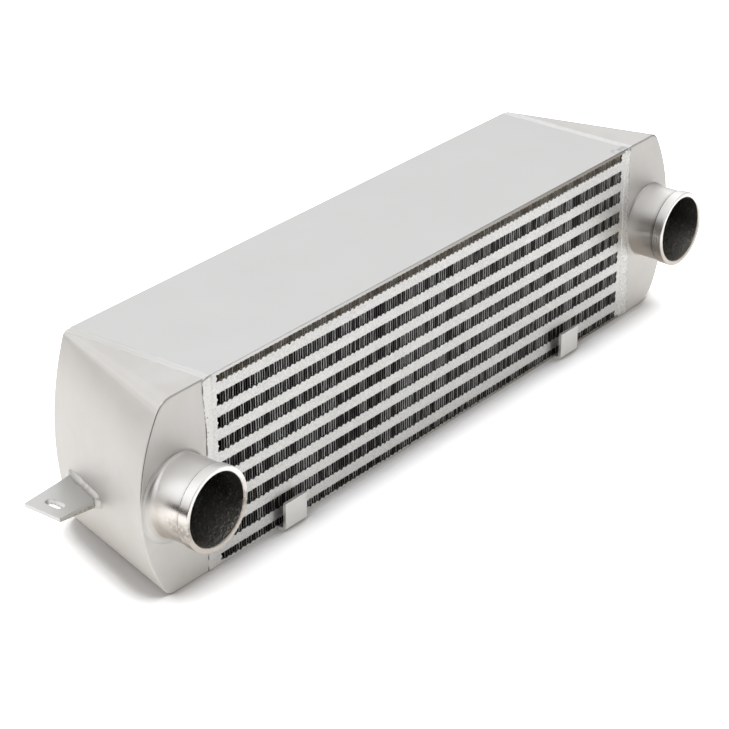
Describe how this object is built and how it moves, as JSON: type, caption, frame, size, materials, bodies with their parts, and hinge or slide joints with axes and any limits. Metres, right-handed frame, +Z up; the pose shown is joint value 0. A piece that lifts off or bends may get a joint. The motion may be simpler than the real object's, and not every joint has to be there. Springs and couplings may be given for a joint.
{
  "type": "intercooler",
  "caption": "Bar-and-plate charge-air cooler core between two cast wedge-shaped end tanks, with round hose necks, a slotted tab and lower hooks.",
  "frame": {"origin": "middle of the underside of the core", "axes": "+X along the core to the right tank, -Y the way the hose necks point, +Z up"},
  "size_m": [0.7019, 0.1708, 0.1601],
  "materials": {
    "side_plate": "satin, fine blasted",
    "bar": "fine blasted",
    "parting_sheet": "fine blasted",
    "cooling_fin": "thin rolled sheet, dark between the folds",
    "charge_fin": "thin rolled sheet",
    "tank": "cast and blasted, machined inside the necks",
    "tab": "satin with sawn edges",
    "hook": "satin sheet"
  },
  "bodies": {
    "root": {"top_side_plate": "side_plate", "bottom_side_plate": "side_plate", "charge_bars_1": "bar", "charge_bars_2": "bar", "charge_bars_3": "bar", "charge_bars_4": "bar", "charge_bars_5": "bar", "charge_bars_6": "bar", "charge_bars_7": "bar", "charge_bars_8": "bar", "end_bars_1": "bar", "end_bars_2": "bar", "end_bars_3": "bar", "end_bars_4": "bar", "end_bars_5": "bar", "end_bars_6": "bar", "end_bars_7": "bar", "end_bars_8": "bar", "end_bars_9": "bar", "parting_sheet_1": "parting_sheet", "parting_sheet_2": "parting_sheet", "parting_sheet_3": "parting_sheet", "parting_sheet_4": "parting_sheet", "parting_sheet_5": "parting_sheet", "parting_sheet_6": "parting_sheet", "parting_sheet_7": "parting_sheet", "parting_sheet_8": "parting_sheet", "parting_sheet_9": "parting_sheet", "parting_sheet_10": "parting_sheet", "parting_sheet_11": "parting_sheet", "parting_sheet_12": "parting_sheet", "parting_sheet_13": "parting_sheet", "parting_sheet_14": "parting_sheet", "parting_sheet_15": "parting_sheet", "parting_sheet_16": "parting_sheet", "cooling_fin_1": "cooling_fin", "cooling_fin_2": "cooling_fin", "cooling_fin_3": "cooling_fin", "cooling_fin_4": "cooling_fin", "cooling_fin_5": "cooling_fin", "cooling_fin_6": "cooling_fin", "cooling_fin_7": "cooling_fin", "cooling_fin_8": "cooling_fin", "cooling_fin_9": "cooling_fin", "charge_fin_1": "charge_fin", "charge_fin_2": "charge_fin", "charge_fin_3": "charge_fin", "charge_fin_4": "charge_fin", "charge_fin_5": "charge_fin", "charge_fin_6": "charge_fin", "charge_fin_7": "charge_fin", "charge_fin_8": "charge_fin", "left_tank": "tank", "right_tank": "tank", "mounting_tab": "tab", "left_hook": "hook", "right_hook": "hook"}
  },
  "joints": []
}
